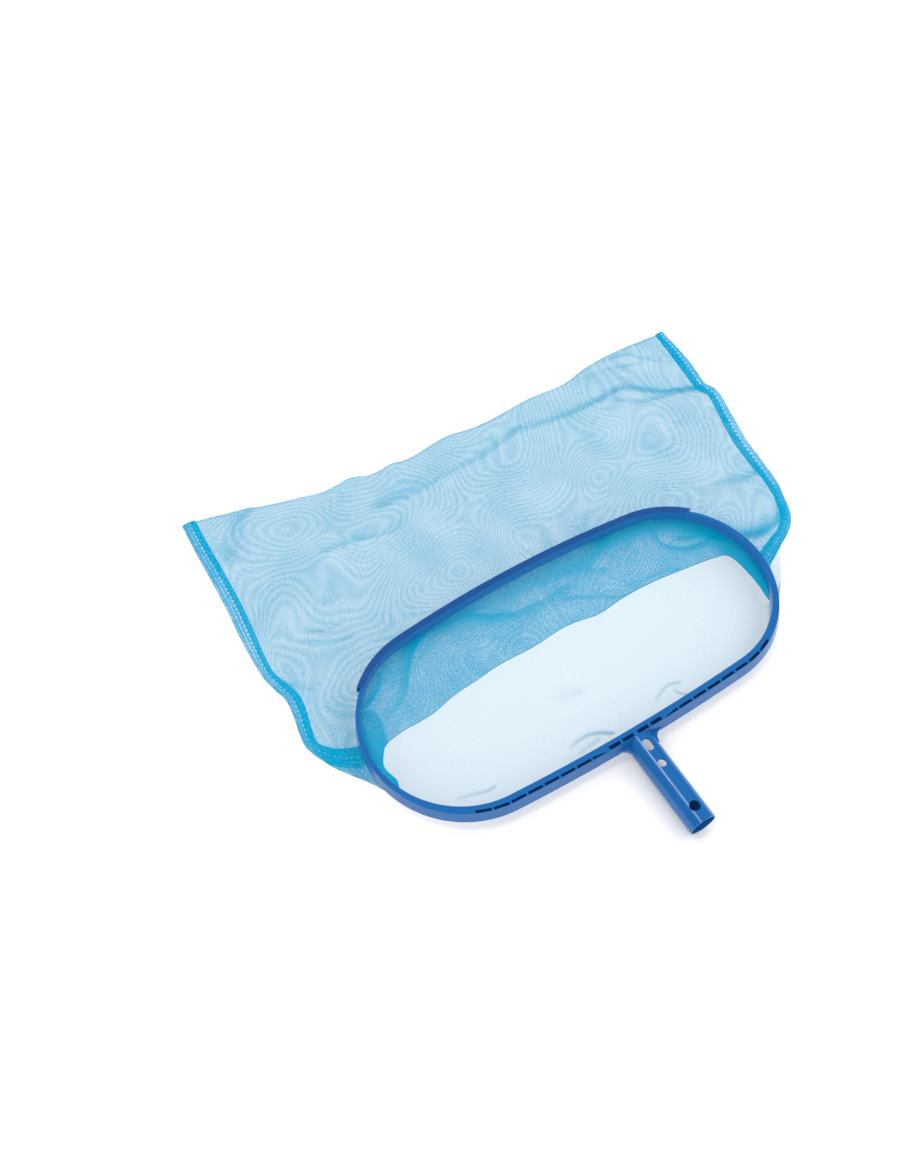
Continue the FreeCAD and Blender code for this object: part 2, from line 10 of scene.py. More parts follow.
import bpy
import numpy as np
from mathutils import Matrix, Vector


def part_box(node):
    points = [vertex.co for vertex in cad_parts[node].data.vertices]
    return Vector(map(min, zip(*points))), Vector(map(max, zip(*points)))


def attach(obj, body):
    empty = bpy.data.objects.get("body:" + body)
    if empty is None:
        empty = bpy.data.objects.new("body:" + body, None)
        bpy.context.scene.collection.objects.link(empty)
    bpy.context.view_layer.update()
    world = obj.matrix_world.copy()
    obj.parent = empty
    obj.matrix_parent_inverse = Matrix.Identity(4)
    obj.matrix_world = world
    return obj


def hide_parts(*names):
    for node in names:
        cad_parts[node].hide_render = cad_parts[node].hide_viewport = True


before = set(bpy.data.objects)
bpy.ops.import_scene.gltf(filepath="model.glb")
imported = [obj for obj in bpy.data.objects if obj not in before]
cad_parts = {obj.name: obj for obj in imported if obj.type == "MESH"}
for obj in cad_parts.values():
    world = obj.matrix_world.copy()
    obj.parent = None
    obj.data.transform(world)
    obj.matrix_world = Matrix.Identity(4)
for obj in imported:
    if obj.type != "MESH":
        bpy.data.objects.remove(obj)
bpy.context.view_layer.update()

MM = 0.001
HOOP_LOW, HOOP_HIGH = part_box("hoop_frame")
LIP_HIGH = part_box("scraper_lip")[1]
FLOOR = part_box("pole_socket")[0].z
HALF_DEPTH = 129.8 * MM  # from the hoop's centre to the outside of the lip
CENTRE = Vector(((HOOP_LOW.x + HOOP_HIGH.x) / 2, LIP_HIGH.y - HALF_DEPTH, FLOOR))

# Flat cloth sizes in metres.
PANEL_WIDTH = 0.695
PANEL_DEPTH = 0.425  # the upper panel, from the far edge to the fold and up to the far bar
UNDER_HOOP = 0.12  # the lower panel runs this much further, under the hoop to the near bar
HEM_FLAT = (1.32, 0.031)

# Heights above the floor, and how cloth lies over cloth, in millimetres.
RIM_HEIGHT = 17.2
RIM_DRAPE = 9  # how far from the rim the lower panel's cloth still hangs from it
PLY_GAP = 1.2  # the least height of the upper panel over the lower one
PLY_LOOSENESS = 0.9
FOLD_HEIGHT = 1.4
HOOP_LIFT = 7.0  # how far the hoop lifts the upper panel behind the fold
LIFT_START, LIFT_END = 190, 40  # where the lift starts, and where it is full, towards the hoop
LEFT_FLAT = (258, 306)  # the lift fades between these distances from the middle
RIGHT_FLAT = (300, 365)
HEM_LOW = RIM_HEIGHT - 0.6
HEM_HIGH = 29.5  # where the band's fold starts
HEM_ROUND = 1.4  # how far the fold rises above that
HEM_FOLD, HEM_FOOT = 1.3, 1.2  # half the band's thickness at its fold and at its foot
BINDING_CROWN = 3.6  # along the stitching
BINDING_FALL = 2.2  # from there to the strip's edges

# Where the two panels part on the rim, in degrees clockwise from the bag's side.
LEFT_PARTING = -100
RIGHT_PARTING = 103

# How finely curves and sheets are divided.
SPAN_SAMPLES = 12
RIM_SECTORS = 72
RIM_SAMPLES = 90
CREASE_STEP = 1.5  # millimetres
CREASE_REACH = 2.5  # in widths of the crease
SIDE_SAMPLES = 200
LOWER_ROWS, LOWER_COLUMNS = 200, 400
BACK_ROWS, FRONT_ROWS, UPPER_COLUMNS = 190, 80, 340  # behind the fold, and from it to the rim
BINDING_ROWS = 520
HEM_COLUMNS = 400

# Smooth noise: layers of waves, each finer and weaker than the one before.
OCTAVES = 3
WAVES_EACH = 6

# Plies: how many the upper panel gains where it is folded or gathered, and how many the hem and
# the bindings have.
SIDE_PLIES = 1.5
FAR_EDGE_PLIES = 0.8
FOLD_PLIES = 0.9
RIM_GATHER = 1.6
HEM_PLIES = 8.0
BINDING_PLIES = (5.8, 3.7)  # inside the stitching, outside it
BINDING_EDGE_PLIES = (7.5, 6.0)
STITCH_PLIES, HOLE_PLIES = 9.0, 1.0
STITCH_ROWS = 8  # from one stitch to the next

# How strong the bands between two plies are on each sheet.
LOWER_RIPPLE = 0.1
BACK_RIPPLE, FRONT_RIPPLE = 1.0, 0.25
EDGE_RIPPLE = 0.3

# The mesh's look. Grain spacing is in metres across and along the cloth; each band noise is
# its scale and how many contours its whole range has.
PITCHES = {"X": 0.0035, "Y": 0.0030}
FLECK_SCALE = 330.0
FLECK_STRENGTH = 4.0
BAND_NOISES = ((4.0, 80.0), (9.0, 64.0))
FINE_BAND_SHARE = 0.6
BAND_STRENGTH = 0.14

# The bag's outline as it lies.
FAR_EDGE = (
    (-296, 415), (-252, 405), (-207, 391), (-170, 380), (-135, 370), (-110, 369),
    (-88, 370), (-62, 361), (-32, 362), (-5, 358), (51, 363), (92, 357), (133, 356),
    (182, 359), (233, 356), (289, 365), (343, 366), (403, 362),
)
LEFT_SEAM = (
    (-297, 415), (-299, 371), (-301, 289), (-305, 241), (-309, 205), (-311, 172),
    (-307, 150), (-302, 130), (-304, 108), (-309, 84), (-311, 64), (-303, 46),
    (-289, 31), (-268, 18),
)
RIGHT_SEAM = (
    (402, 362), (400, 320), (397, 290), (392, 256), (398, 236), (392, 208), (383, 174),
    (377, 147), (373, 110), (369, 74), (360, 44), (349, 24), (332, 10), (310, 0),
    (288, -10), (272, -14),
)
# Widths of the bindings at even steps along them: inside the stitching, then outside it.
LEFT_EDGES = ((8, 10), (8, 11), (7, 12), (7, 12), (6, 8), (9, 8), (7, 7), (14, 14))
RIGHT_EDGES = ((7, 6), (10, 8), (8, 8), (9, 9), (9, 9), (7, 7), (7, 7), (11, 11))

# The upper panel's fold inside the hoop, and how the panels' sides run from the hoop to the
# seams. They follow the seams from there to the far edge.
FOLD = (
    (-258, -44), (-252, -28), (-256, -8), (-250, 6), (-239, 17), (-214, 21), (-177, 22),
    (-143, 29), (-107, 32), (-76, 35), (-30, 34), (23, 37), (64, 31), (101, 34),
    (150, 32), (198, 26), (228, 22), (245, 17), (251, 6), (253, -12), (253, -35),
    (250, -62),
)
UPPER_LEFT = ((-264, -40), (-281, -9), (-297, 16), (-309, 39), (-313, 64))
UPPER_RIGHT = ((264, -44), (288, -21), (310, -8), (333, 5), (360, 34), (372, 66))
LOWER_LEFT = ((-257, -44), (-276, -9), (-293, 17), (-307, 40), (-313, 64))
LOWER_RIGHT = ((283, -46), (303, -23), (313, -8), (345, 15), (364, 40), (374, 66))
SEAM_JOIN = 10  # how many points of each seam, from the far edge, the panels' sides follow

# Creases: plan points, width to the right and to the left of the way they run, rise, and the
# plies they add at each end. These plies are partly the fold's doubled cloth and partly painted
# shade, which spreads furthest on the wider side.
BACK_CREASES = (
    (
        ((136, 320), (199, 309), (263, 306), (299, 304), (335, 275), (358, 263), (390, 250)),
        2.5, 7, 3, 0.7, 1.9,
    ),
    (((270, 300), (303, 276), (329, 267), (360, 260), (388, 249)), 2, 6, 2, 0.4, 1.3),
    (((-80, 309), (-31, 304), (17, 308), (71, 309), (136, 320)), 2.5, 9, 2, 0.5, 0.8),
    (((-73, 310), (-20, 318), (60, 330)), 5, 14, 1, 0.4, 0.3),
    (((-172, 286), (-135, 282), (-88, 269), (-66, 274)), 2, 9, 1, 0.7, 0.4),
    (((314, 358), (337, 354), (351, 338), (381, 309)), 1.5, 4, 1, 0.9, 0.3),
    (((255, 349), (300, 344), (345, 330)), 1.5, 4, 1, 0.3, 0.5),
    (((300, 112), (320, 106), (342, 100), (366, 98)), 3, 8, 2, 0.2, 1.0),
    (((-258, 188), (-246, 177), (-231, 167), (-205, 163)), 1.5, 4, 1, 0.2, 0.6),
    (((-242, 195), (-220, 186), (-195, 184)), 1.2, 4, 1, 0.6, 0.2),
    (((-308, 150), (-293, 140), (-280, 125)), 3, 6, 1, 1.8, 0.4),
    (((-262, 366), (-248, 380), (-222, 392)), 3, 8, 2, 0.2, 0.9),
    (((-290, 340), (-262, 352), (-236, 388)), 5, 14, 2, 0.4, 0.3),
    (((-230, 300), (-262, 262), (-300, 240)), 6, 20, 1, 0.2, 0.4),
    (((284, 26), (300, 21), (319, 20), (337, 25), (356, 36)), 4, 8, 2, 3.0, 2.0),
    (((268, 56), (290, 30), (330, 34)), 8, 9, 1, 0.9, 0.3),
    (((-262, -34), (-285, 2), (-306, 36)), 16, 16, 0, 1.3, 1.8),
    (((-244, 112), (-266, 80), (-277, 42), (-277, 4)), 14, 14, 0, 0.3, 0.8),
)
FRONT_CREASES = (
    (
        ((-219, 44), (-206, 49), (-194, 57), (-180, 71), (-168, 87), (-157, 99), (-140, 112)),
        2.2, 9, 4, 0.5, 3.4,
    ),
    (((-150, 106), (-125, 114), (-110, 111), (-90, 109), (-68, 108)), 2.5, 14, 2, 3.6, 2.0),
    (((-237, 68), (-226, 73), (-213, 81), (-202, 95)), 2, 4, 3, 3.4, 1.2),
    (
        ((52, 84), (20, 79), (0, 80), (-23, 83), (-43, 90), (-56, 98), (-72, 111)),
        1.8, 9, 4, 0.7, 2.6,
    ),
    (((-80, 92), (-59, 88), (-30, 89)), 3, 5, 2, 0.5, 0.8),
    (((101, 81), (77, 91), (57, 96), (40, 92)), 2, 7, 2, 1.0, 0.5),
    (((25, 100), (63, 97), (88, 93), (122, 106)), 4, 14, 3, 0.9, 2.0),
    (((41, 66), (63, 55), (97, 37), (128, 32)), 1.2, 4, 2, 1.3, 0.7),
    (((120, 40), (150, 38), (180, 30)), 1.2, 4, 1, 0.6, 0.8),
    (
        ((247, 44), (227, 45), (208, 50), (196, 58), (188, 68), (186, 78), (190, 92)),
        1.5, 6, 3, 3.2, 1.5,
    ),
    (((214, 60), (232, 54), (240, 46), (250, 35)), 2, 12, 2, 2.0, 4.0),
    (
        (
            (262, -50), (262, -20), (262, 5), (256, 35),
            (240, 66), (215, 92), (180, 107), (130, 115),
        ),
        6, 14, 4, 8.0, 2.6,
    ),
    (((-262, 96), (-262, 50), (-260, 10), (-256, -48)), 12, 14, 3, 2.4, 4.0),
    (((-240, 16), (-234, 34), (-232, 53), (-241, 63), (-258, 67)), 1.5, 16, 2, 2.6, 2.2),
)
LOWER_CREASES = (
    (((-202, -79), (-185, -84), (-171, -88), (-161, -88)), 1.3, 2.6, 1.5, 0.5, 1.0),
    (((-60, -93), (-44, -91), (-28, -94), (-12, -104)), 1.3, 3.2, 1.5, 0.6, 2.2),
    (((-72, -108), (-52, -104), (-30, -102)), 2.5, 4, 1, 0.1, 0.7),
    (((58, -96), (70, -90), (82, -88), (94, -92)), 1.3, 2.6, 1.5, 0.5, 1.0),
    (((83, -97), (86, -104), (94, -112)), 1.3, 2.2, 1.5, 0.8, 1.8),
    (((-41, -33), (-14, -41)), 4, 8, 1, 0.1, 0.3),
    (((252, -66), (240, -82), (225, -95)), 4, 8, 2, 1.4, 0.3),
)


def spread(points, count):
    """A smooth curve through plan points (a Catmull-Rom spline), as evenly spaced samples."""
    points = np.array(points, float)
    ends = np.vstack([2 * points[0] - points[1], points, 2 * points[-1] - points[-2]])
    t = np.linspace(0, 1, SPAN_SAMPLES, endpoint=False)[:, None]
    spans = []
    for a, b, c, d in zip(ends, ends[1:], ends[2:], ends[3:]):
        square = 2 * a - 5 * b + 4 * c - d
        cube = 3 * b - a - 3 * c + d
        spans.append(0.5 * (2 * b + (c - a) * t + square * t**2 + cube * t**3))
    fine = np.vstack(spans + [points[-1:]])
    along = np.concatenate([[0], np.cumsum(np.linalg.norm(np.diff(fine, axis=0), axis=1))])
    at = np.linspace(0, along[-1], count)
    return np.column_stack([np.interp(at, along, fine[:, axis]) for axis in (0, 1)])


def waves(xy, size, seed):
    """Smooth noise between about -1 and 1 with features of a size in millimetres."""
    random = np.random.default_rng(seed)
    total = np.zeros(xy.shape[:-1])
    for octave in range(OCTAVES):
        for _ in range(WAVES_EACH):
            angle, phase = random.uniform(0, 2 * math.pi, 2)
            pace = 2 * math.pi / (size / 1.9**octave * random.uniform(0.7, 1.4))
            way = xy[..., 0] * math.cos(angle) + xy[..., 1] * math.sin(angle)
            total += np.sin(way * pace + phase) / (WAVES_EACH**0.5 * 1.8**octave)
    return total / 1.4


def crease_field(xy, creases):
    """What creases add to a panel at each plan point: (rise in millimetres, extra plies, partly
    painted shade).
    """
    rise = np.zeros(xy.shape[:-1])
    plies = np.zeros(xy.shape[:-1])
    for points, right_width, left_width, height, start, end in creases:
        reach = CREASE_REACH * max(right_width, left_width)
        low, high = np.min(points, axis=0) - reach, np.max(points, axis=0) + reach
        near = np.all((xy > low) & (xy < high), axis=-1)
        place = xy[near]
        length = np.linalg.norm(np.diff(points, axis=0), axis=1).sum()
        line = spread(points, int(length / CREASE_STEP) + 2)
        ahead = np.gradient(line, axis=0)
        nearest = np.linalg.norm(place[:, None, :] - line, axis=-1).argmin(axis=-1)
        gap = place - line[nearest]
        on_left = ahead[nearest, 0] * gap[:, 1] > ahead[nearest, 1] * gap[:, 0]
        along = nearest / (len(line) - 1)
        # Each side spreads its plies over its own width; the wider, softer side is painted shade
        # beside the fold.
        width = np.where(on_left, left_width, right_width)
        shape = np.exp(-((gap**2).sum(axis=-1)) / width**2)
        rise[near] += height * shape
        plies[near] += (start + (end - start) * along) * shape
    return rise, plies


def patch(near, far, left, right, levels):
    """Plan points that fill four boundary curves, in rows from near to far at given levels."""
    u = np.linspace(0, 1, len(near))[None, :, None]
    v = np.asarray(levels)[:, None, None]
    at = np.asarray(levels) * (len(left) - 1)
    places = np.arange(len(left))
    sides = []
    for side in (left, right):
        picked = [np.interp(at, places, side[:, axis]) for axis in (0, 1)]
        sides.append(np.column_stack(picked)[:, None, :])
    ruled = (1 - v) * near[None] + v * far[None] + (1 - u) * sides[0] + u * sides[1]
    corners = (1 - u) * ((1 - v) * near[0] + v * far[0]) + u * ((1 - v) * near[-1] + v * far[-1])
    return ruled - corners


def rim_path(start, end, count):
    """Plan points along the rim's cord, between two angles clockwise from the bag's side."""
    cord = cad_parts["rim_cord"].data.vertices
    plan = np.array([((v.co.x - CENTRE.x) / MM, (v.co.y - CENTRE.y) / MM) for v in cord])
    turn = np.arctan2(plan[:, 0], plan[:, 1])
    stops = np.radians(np.linspace(-180, 180, RIM_SECTORS + 1))
    ring = []
    for low, high in zip(stops, stops[1:]):
        part = plan[(turn >= low) & (turn <= high)]
        if len(part):
            ring.append(part.mean(axis=0))
    ring = np.array(ring)
    ring = ring[np.argsort(np.arctan2(ring[:, 0], ring[:, 1]))]
    angles = np.degrees(np.arctan2(ring[:, 0], ring[:, 1]))
    three_rounds = np.r_[angles - 360, angles, angles + 360]
    wanted = np.linspace(start, end, RIM_SAMPLES)
    reach = np.interp(wanted, three_rounds, np.tile(np.hypot(*ring.T), 3))
    wanted = np.radians(wanted)
    return spread(np.column_stack([reach * np.sin(wanted), reach * np.cos(wanted)]), count)


def grid_piece(name, points, plies, ripple, flat, material):
    """A sheet from a grid of (x, y, height), whose cloth map is metres on the flat cloth.

    The material reads plies, how many layers lie at a point, with painted shade added to them
    where creases and swells are shaded, and ripple, how strong the bands between two layers are
    there.
    """
    rows, columns = points.shape[:2]
    mesh = bpy.data.meshes.new(name)
    places = points.reshape(-1, 3) * MM + np.array(CENTRE)
    index = np.arange(rows * columns).reshape(rows, columns)
    corners = [index[:-1, :-1], index[:-1, 1:], index[1:, 1:], index[1:, :-1]]
    quads = np.stack(corners, axis=-1).reshape(-1, 4)
    mesh.from_pydata(places.tolist(), [], quads.tolist())
    uv = mesh.uv_layers.new(name="cloth")
    steps = np.linalg.norm(np.diff(points[:, columns // 2], axis=0), axis=1)
    rise = np.concatenate([[0], np.cumsum(steps)]) / steps.sum()
    across, along = np.meshgrid(np.linspace(0, flat[0], columns), rise * flat[1])
    cloth = np.column_stack([across.ravel(), along.ravel()])
    uv.data.foreach_set("uv", cloth[quads.ravel()].ravel())
    for label, values in (("plies", plies), ("ripple", ripple)):
        layer = mesh.attributes.new(label, "FLOAT", "POINT")
        everywhere = np.broadcast_to(values, (rows, columns)).astype(float)
        layer.data.foreach_set("value", everywhere.ravel())
    mesh.shade_smooth()
    mesh.materials.append(material)
    piece = bpy.data.objects.new(name, mesh)
    bpy.context.scene.collection.objects.link(piece)
    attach(piece, "root")
    return piece


def floor_wrinkles(xy):
    """Height of slack cloth that lies on the floor: broad waves with finer ones over them."""
    return 0.5 + 0.5 * (1 + waves(xy, 170, 3)) + 0.25 * (1 + waves(xy, 60, 8))


def smooth(value, low, high):
    """A soft step from 0 at low to 1 at high."""
    t = np.clip((value - low) / (high - low), 0, 1)
    return t * t * (3 - 2 * t)


def make_lower_panel(material):
    """One ply from the near half of the rim to the far edge, flat on the floor.

    Its rows lie closer together near the rim, where it hangs.
    """
    levels = np.linspace(0, 1, LOWER_ROWS) ** 1.8
    near = rim_path(LEFT_PARTING + 360, RIGHT_PARTING, LOWER_COLUMNS)
    far = spread(FAR_EDGE, LOWER_COLUMNS)
    left_points = (tuple(near[0]),) + LOWER_LEFT + LEFT_SEAM[SEAM_JOIN - 1 :: -1]
    right_points = (tuple(near[-1]),) + LOWER_RIGHT + RIGHT_SEAM[SEAM_JOIN - 1 :: -1]
    left = spread(left_points, SIDE_SAMPLES)
    right = spread(right_points, SIDE_SAMPLES)
    xy = patch(near, far, left, right, levels)
    from_rim = np.linalg.norm(xy - near[None], axis=-1)
    height = floor_wrinkles(xy)
    rise, plies = crease_field(xy, LOWER_CREASES)
    height += rise
    height += (RIM_HEIGHT - height) * np.exp(-((from_rim / RIM_DRAPE) ** 2))
    points = np.dstack([xy, height])
    flat = (PANEL_WIDTH, PANEL_DEPTH + UNDER_HOOP)
    piece = grid_piece(
        "lower_mesh", points, 1 + plies, LOWER_RIPPLE, flat, material
    )
    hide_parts("bag_lower_panel")
    return piece, flat


def back_height(xy):
    """Height of the upper panel behind the fold.

    It lies loosely on the lower panel, and rises towards the hoop except near the seams.
    """
    x, y = xy[..., 0], xy[..., 1]
    from_seams = (1 - smooth(x, *RIGHT_FLAT)) * (1 - smooth(-x, *LEFT_FLAT))
    lift = HOOP_LIFT * smooth(y, LIFT_START, LIFT_END) * from_seams
    return floor_wrinkles(xy) + PLY_GAP + PLY_LOOSENESS * (1 + waves(xy, 120, 21)) + lift


def make_upper_panel(material):
    """From the far edge forward to the fold, and from there back up to the far half of the rim."""
    fold = spread(FOLD, UPPER_COLUMNS)
    far = spread(FAR_EDGE, UPPER_COLUMNS)
    left_points = FOLD[:1] + UPPER_LEFT + LEFT_SEAM[SEAM_JOIN - 1 :: -1]
    right_points = FOLD[-1:] + UPPER_RIGHT + RIGHT_SEAM[SEAM_JOIN - 1 :: -1]
    left = spread(left_points, SIDE_SAMPLES)
    right = spread(right_points, SIDE_SAMPLES)
    back_xy = patch(fold, far, left, right, np.linspace(0, 1, BACK_ROWS))
    rise, plies = crease_field(back_xy, BACK_CREASES)
    back = np.dstack([back_xy, back_height(back_xy) + rise])

    # The front runs straight from the fold to the rim in plan, and is steepest at the fold.
    rim = rim_path(LEFT_PARTING, RIGHT_PARTING, UPPER_COLUMNS)
    steps = np.linspace(0, 1, FRONT_ROWS)
    front_xy = (1 - steps[:, None, None]) * fold + steps[:, None, None] * rim
    lean = steps[:, None] ** 0.8
    edge = back[0, :, 2] + FOLD_HEIGHT
    front_height = edge * (1 - lean) + RIM_HEIGHT * lean
    front_rise, front_plies = crease_field(front_xy, FRONT_CREASES)
    fade = np.sin(np.pi * np.clip(steps, 0.02, 0.98))[:, None] ** 0.5
    front_height = np.minimum(front_height + front_rise * fade * 0.6, RIM_HEIGHT + 0.2)
    front = np.dstack([front_xy, front_height])

    points = np.concatenate([back[::-1], front])

    # Broad painted shade of soft swells lies over the back, and the front is uneven all over.
    # The cloth is doubled or gathered at the sides, far edge, fold and rim.
    broad_shade = 0.16 * waves(back_xy, 95, 31)
    gather = RIM_GATHER * smooth(steps, 0.6, 1)[:, None]
    front_plies += 1.1 + 0.25 * waves(front_xy, 60, 33) + gather
    all_plies = np.concatenate([(1 + broad_shade + plies)[::-1], front_plies])
    all_plies[:, [0, -1]] += SIDE_PLIES
    all_plies[:2] += FAR_EDGE_PLIES
    all_plies[len(back) - 1 : len(back) + 1] += FOLD_PLIES
    ripple = np.repeat([BACK_RIPPLE, FRONT_RIPPLE], [len(back), len(front)])[:, None]
    flat = (PANEL_WIDTH, PANEL_DEPTH)
    piece = grid_piece("upper_mesh", points, all_plies, ripple, flat, material)
    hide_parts("bag_upper_panel")
    return piece, flat


def make_binding(name, seam, edges, side, node, material):
    """A folded strip sewn along one side: denser inside the stitching than outside it.

    The seam runs from the far edge to the hoop, and side says which way is outside.
    """
    line = spread(seam, BINDING_ROWS)
    ahead = np.gradient(line, axis=0)
    ahead /= np.linalg.norm(ahead, axis=1)[:, None]
    across = np.column_stack([ahead[:, 1], -ahead[:, 0]]) * side
    widths = np.array(edges, float)
    place = np.linspace(0, 1, BINDING_ROWS)
    stops = np.linspace(0, 1, len(widths))
    inner = np.interp(place, stops, widths[:, 0])
    outer = np.interp(place, stops, widths[:, 1])

    # Columns over the strip's width; the one at its middle holds the stitches.
    steps = np.concatenate([np.linspace(-1, -0.2, 6), [0], np.linspace(0.2, 1, 6)])
    reach = np.where(steps[None] < 0, inner[:, None], outer[:, None]) * steps[None]
    xy = line[:, None] + across[:, None] * reach[..., None]
    crown = BINDING_CROWN - BINDING_FALL * np.abs(steps[None]) ** 3
    height = back_height(xy) * 0.6 + crown + 0.5 * waves(xy, 25, 5)

    # More plies at the far edge's corner and where the cloth is gathered towards the hoop.
    dense = np.where(steps < 0, *BINDING_PLIES)
    dense[0], dense[-1] = BINDING_EDGE_PLIES
    ends = 2.0 * np.exp(-((place / 0.3) ** 2)) + 1.8 * smooth(place, 0.5, 0.7)
    plies = dense[None] + ends[:, None] + 0.6 * waves(xy, 40, 9)
    stitch = np.arange(BINDING_ROWS) % STITCH_ROWS < STITCH_ROWS // 2
    plies[:, len(steps) // 2] = np.where(stitch, STITCH_PLIES, HOLE_PLIES)
    points = np.dstack([xy, height])
    seam_length = float(np.linalg.norm(np.diff(line, axis=0), axis=1).sum())
    flat = (float((inner + outer).mean()) * MM, seam_length * MM)
    plies = np.maximum(plies, 1.2)
    piece = grid_piece(name, points, plies, EDGE_RIPPLE, flat, material)
    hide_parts(node)
    return piece, flat


def make_hem(material):
    """The hem's band, folded over inside the hoop's channel and just showing below it."""
    rim = rim_path(-180, 180, HEM_COLUMNS)
    ahead = np.gradient(rim, axis=0)
    ahead /= np.linalg.norm(ahead, axis=1)[:, None]
    across = np.column_stack([ahead[:, 1], -ahead[:, 0]])
    turns = np.linspace(0, math.pi, 9)
    side = np.concatenate([[-HEM_FOOT], -HEM_FOLD * np.cos(turns), [HEM_FOOT]])
    up = np.concatenate([[HEM_LOW], HEM_HIGH + HEM_ROUND * np.sin(turns), [HEM_LOW]])
    xy = rim[None] + across[None] * side[:, None, None]
    height = np.broadcast_to(up[:, None], xy.shape[:2])
    points = np.dstack([xy, height])
    piece = grid_piece(
        "hem_band", points, HEM_PLIES, EDGE_RIPPLE, HEM_FLAT, material
    )
    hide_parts("mouth_hem")
    return piece, HEM_FLAT


class Nodes:
    """A material's node tree, with short ways to add and join nodes."""

    def __init__(self, name):
        self.material = bpy.data.materials.new(name)
        self.material.use_nodes = True
        self.tree = self.material.node_tree
        self.shader = self.tree.nodes["Principled BSDF"]

    def add(self, kind, **values):
        """A node of a kind, with values for its inputs or, where it has no such input, itself."""
        node = self.tree.nodes.new(kind)
        for key, value in values.items():
            if key in node.inputs:
                node.inputs[key].default_value = value
            else:
                setattr(node, key, value)
        return node

    def math(self, operation, *values):
        """The output of a math node; each value is a number or another node's output."""
        node = self.tree.nodes.new("ShaderNodeMath")
        node.operation = operation
        for socket, value in zip(node.inputs, values):
            if isinstance(value, bpy.types.NodeSocket):
                self.tree.links.new(value, socket)
            else:
                socket.default_value = value
        return node.outputs[0]

    def join(self, output, socket):
        self.tree.links.new(output, socket)


def plastic(name, colour, roughness):
    """Glossy moulded plastic with a faint flow texture."""
    nodes = Nodes(name)
    shader = nodes.shader
    shader.inputs["Base Color"].default_value = (*colour, 1)
    shader.inputs["Specular IOR Level"].default_value = 0.5
    place = nodes.add("ShaderNodeTexCoord")
    flow = nodes.add("ShaderNodeTexNoise", Scale=22.0, Detail=2.0)
    nodes.join(place.outputs["Object"], flow.inputs["Vector"])
    spread_of_roughness = 0.12
    least = roughness - spread_of_roughness / 2
    uneven = nodes.math("MULTIPLY_ADD", flow.outputs["Fac"], spread_of_roughness, least)
    nodes.join(uneven, shader.inputs["Roughness"])
    bump = nodes.add("ShaderNodeBump", Strength=0.04, Distance=0.0005)
    nodes.join(flow.outputs["Fac"], bump.inputs["Height"])
    nodes.join(bump.outputs["Normal"], shader.inputs["Normal"])
    return nodes.material


def net(name, colour, coverage, grain):
    """Fine open mesh: thread covers part of each cell, more where plies lie over each other.

    Two plies also beat into light and dark bands where the sheet's ripple is strong, and
    into a fine grain where it is weak.
    """
    nodes = Nodes(name)
    math_node = nodes.math
    shader = nodes.shader
    shader.inputs["Base Color"].default_value = (*colour, 1)
    shader.inputs["Roughness"].default_value = 0.75
    shader.inputs["Specular IOR Level"].default_value = 0.0
    cloth = nodes.add("ShaderNodeUVMap", uv_map="cloth")
    split = nodes.add("ShaderNodeSeparateXYZ")
    nodes.join(cloth.outputs["UV"], split.inputs["Vector"])
    plies = nodes.add("ShaderNodeAttribute", attribute_name="plies")
    ripple = nodes.add("ShaderNodeAttribute", attribute_name="ripple")

    def cloth_noise(scale, detail):
        noise = nodes.add("ShaderNodeTexNoise", Scale=scale, Detail=detail)
        nodes.join(cloth.outputs["UV"], noise.inputs["Vector"])
        return noise.outputs["Fac"]

    # Bands: the contours of a broad noise, and weaker ones of a finer noise.
    bands = []
    for scale, contours in BAND_NOISES:
        phase = math_node("MULTIPLY", cloth_noise(scale, 1.5), contours * 2 * math.pi)
        bands.append(math_node("SINE", phase))
    both = math_node("ADD", bands[0], math_node("MULTIPLY", bands[1], FINE_BAND_SHARE))
    strength = math_node("MULTIPLY", both, BAND_STRENGTH)
    ripples = math_node("MULTIPLY", strength, ripple.outputs["Fac"])

    # Grain: threads both ways, and flecks where their crossings clump.
    threads = []
    for axis, pitch in PITCHES.items():
        phase = math_node("MULTIPLY", split.outputs[axis], 2 * math.pi / pitch)
        threads.append(math_node("SINE", phase))
    fleck = math_node("SUBTRACT", cloth_noise(FLECK_SCALE, 1.0), 0.5)
    flecks = math_node("MULTIPLY", fleck, FLECK_STRENGTH)
    calm = math_node("SUBTRACT", 1.25, ripple.outputs["Fac"])
    depth = math_node("MULTIPLY", calm, grain)
    crossings = math_node("ADD", threads[0], threads[1])
    weave = math_node("MULTIPLY", math_node("ADD", crossings, flecks), depth)

    # What is left open shrinks by the same share with each ply.
    uneven = math_node("ADD", math_node("ADD", ripples, weave), 1.0)
    # Coverage is the share one ply hides, with its own shadow on what lies under it painted in as
    # well.
    share = math_node("MULTIPLY", uneven, coverage)
    share = math_node("MINIMUM", math_node("MAXIMUM", share, 0.02), 0.95)
    open_part = math_node("SUBTRACT", 1.0, share)
    clear = math_node("POWER", open_part, plies.outputs["Fac"])
    nodes.join(math_node("SUBTRACT", 1.0, clear), shader.inputs["Alpha"])
    return nodes.material


def paint_frame():
    """Materials for the parts that stay as packed."""
    hoop = plastic("hoop_blue", (0.006, 0.118, 0.37), 0.2)
    lip = plastic("lip_blue", (0.005, 0.07, 0.27), 0.3)
    cord = plastic("cord_white", (0.75, 0.8, 0.82), 0.5)
    looks = {"hoop_frame": hoop, "pole_socket": hoop, "scraper_lip": lip, "rim_cord": cord}
    for node, material in looks.items():
        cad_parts[node].data.materials.clear()
        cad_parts[node].data.materials.append(material)


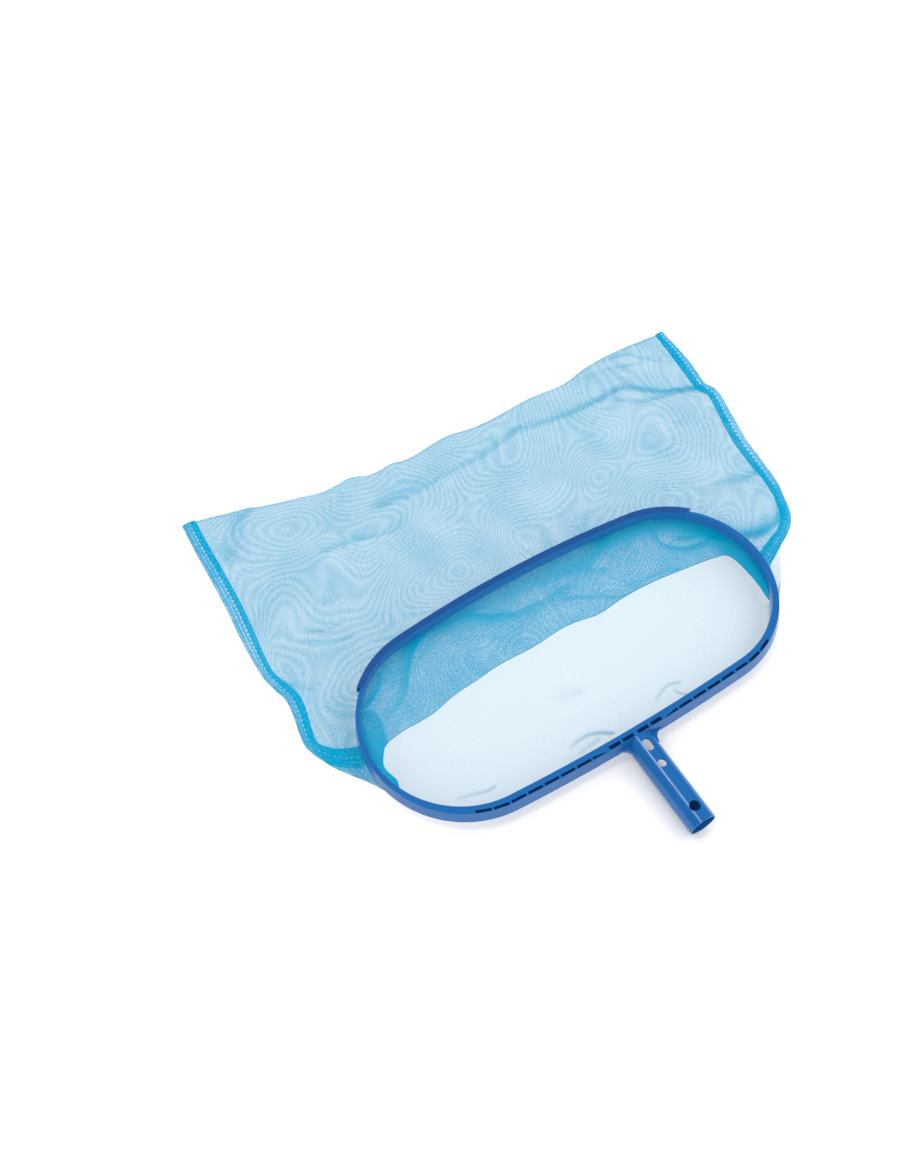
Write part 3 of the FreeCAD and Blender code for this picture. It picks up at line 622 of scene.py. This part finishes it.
def make_floor():
    """A matt white square that reaches past the picture on all sides."""
    mesh = bpy.data.meshes.new("floor")
    half = 8.0
    corners = [(x * half, y * half, FLOOR) for x, y in ((-1, -1), (1, -1), (1, 1), (-1, 1))]
    mesh.from_pydata(corners, [], [(0, 1, 2, 3)])
    nodes = Nodes("floor_white")
    nodes.shader.inputs["Base Color"].default_value = (0.93, 0.93, 0.93, 1)
    nodes.shader.inputs["Roughness"].default_value = 0.9
    nodes.shader.inputs["Specular IOR Level"].default_value = 0.0
    mesh.materials.append(nodes.material)
    floor = bpy.data.objects.new("floor", mesh)
    bpy.context.scene.collection.objects.link(floor)
    return floor


def add_light(name, aim, way, distance, size, power):
    """A square soft light that looks at a point from a direction."""
    lamp = bpy.data.lights.new(name, "AREA")
    lamp.size = size
    lamp.energy = power
    light = bpy.data.objects.new(name, lamp)
    direction = Vector(way).normalized()
    light.location = aim + direction * distance
    light.rotation_euler = direction.to_track_quat("Z", "Y").to_euler()
    bpy.context.scene.collection.objects.link(light)
    return light


def make_lights():
    """White surroundings and a soft key light, which the plastic doesn't mirror, and a glint.

    The glint is a small lamp whose reflection is the streak along the socket.
    """
    world = bpy.data.worlds.new("studio")
    world.use_nodes = True
    world.node_tree.nodes["Background"].inputs["Color"].default_value = (1, 1, 1, 1)
    world.node_tree.nodes["Background"].inputs["Strength"].default_value = 1.1
    world.cycles_visibility.glossy = False
    bpy.context.scene.world = world
    low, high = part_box("pole_socket")
    key = add_light("key", CENTRE, (0.85, 0.35, 0.75), distance=4.0, size=3.2, power=48)
    key.visible_glossy = False
    way = (-0.319, 0.236, 0.915)
    add_light("glint", (low + high) / 2, way, distance=2.4, size=0.35, power=6.5)


def make_camera():
    """The camera looks down at the bag over the handle's left side."""
    turn, tilt, distance = math.radians(-31.75), math.radians(58.27), 1.552
    aim = CENTRE + Vector((-0.0610, 0.1651, 0))
    level = math.cos(tilt)
    away = Vector((math.sin(turn) * level, -math.cos(turn) * level, math.sin(tilt)))
    lens = bpy.data.cameras.new("camera")
    lens.sensor_width = 36
    lens.lens = 38.87
    camera = bpy.data.objects.new("camera", lens)
    camera.location = aim + away * distance
    camera.rotation_euler = away.to_track_quat("Z", "Y").to_euler()
    bpy.context.scene.collection.objects.link(camera)
    bpy.context.scene.camera = camera


paint_frame()
floor = make_floor()
lower, lower_flat = make_lower_panel(net("lower_net", (0.0, 0.24, 0.385), 0.38, 0.012))
upper, upper_flat = make_upper_panel(net("upper_net", (0.0, 0.285, 0.485), 0.46, 0.25))
seam_net = net("seam_net", (0.0, 0.295, 0.52), 0.38, 0.25)
left, left_flat = make_binding(
    "left_binding", LEFT_SEAM, LEFT_EDGES, 1, "left_seam_binding", seam_net
)
right, right_flat = make_binding(
    "right_binding", RIGHT_SEAM, RIGHT_EDGES, -1, "right_seam_binding", seam_net
)
hem, hem_flat = make_hem(net("hem_net", (0.0, 0.30, 0.55), 0.5, 0.1))
for piece in (lower, upper, left, right, hem):
    # These sheets cast no shadow and hide no light from what lies under them; the shade a ply
    # would cast there is painted into its coverage instead.
    piece.visible_shadow = False
    piece.visible_diffuse = False
make_lights()
make_camera()
bpy.context.scene.view_settings.view_transform = "Standard"
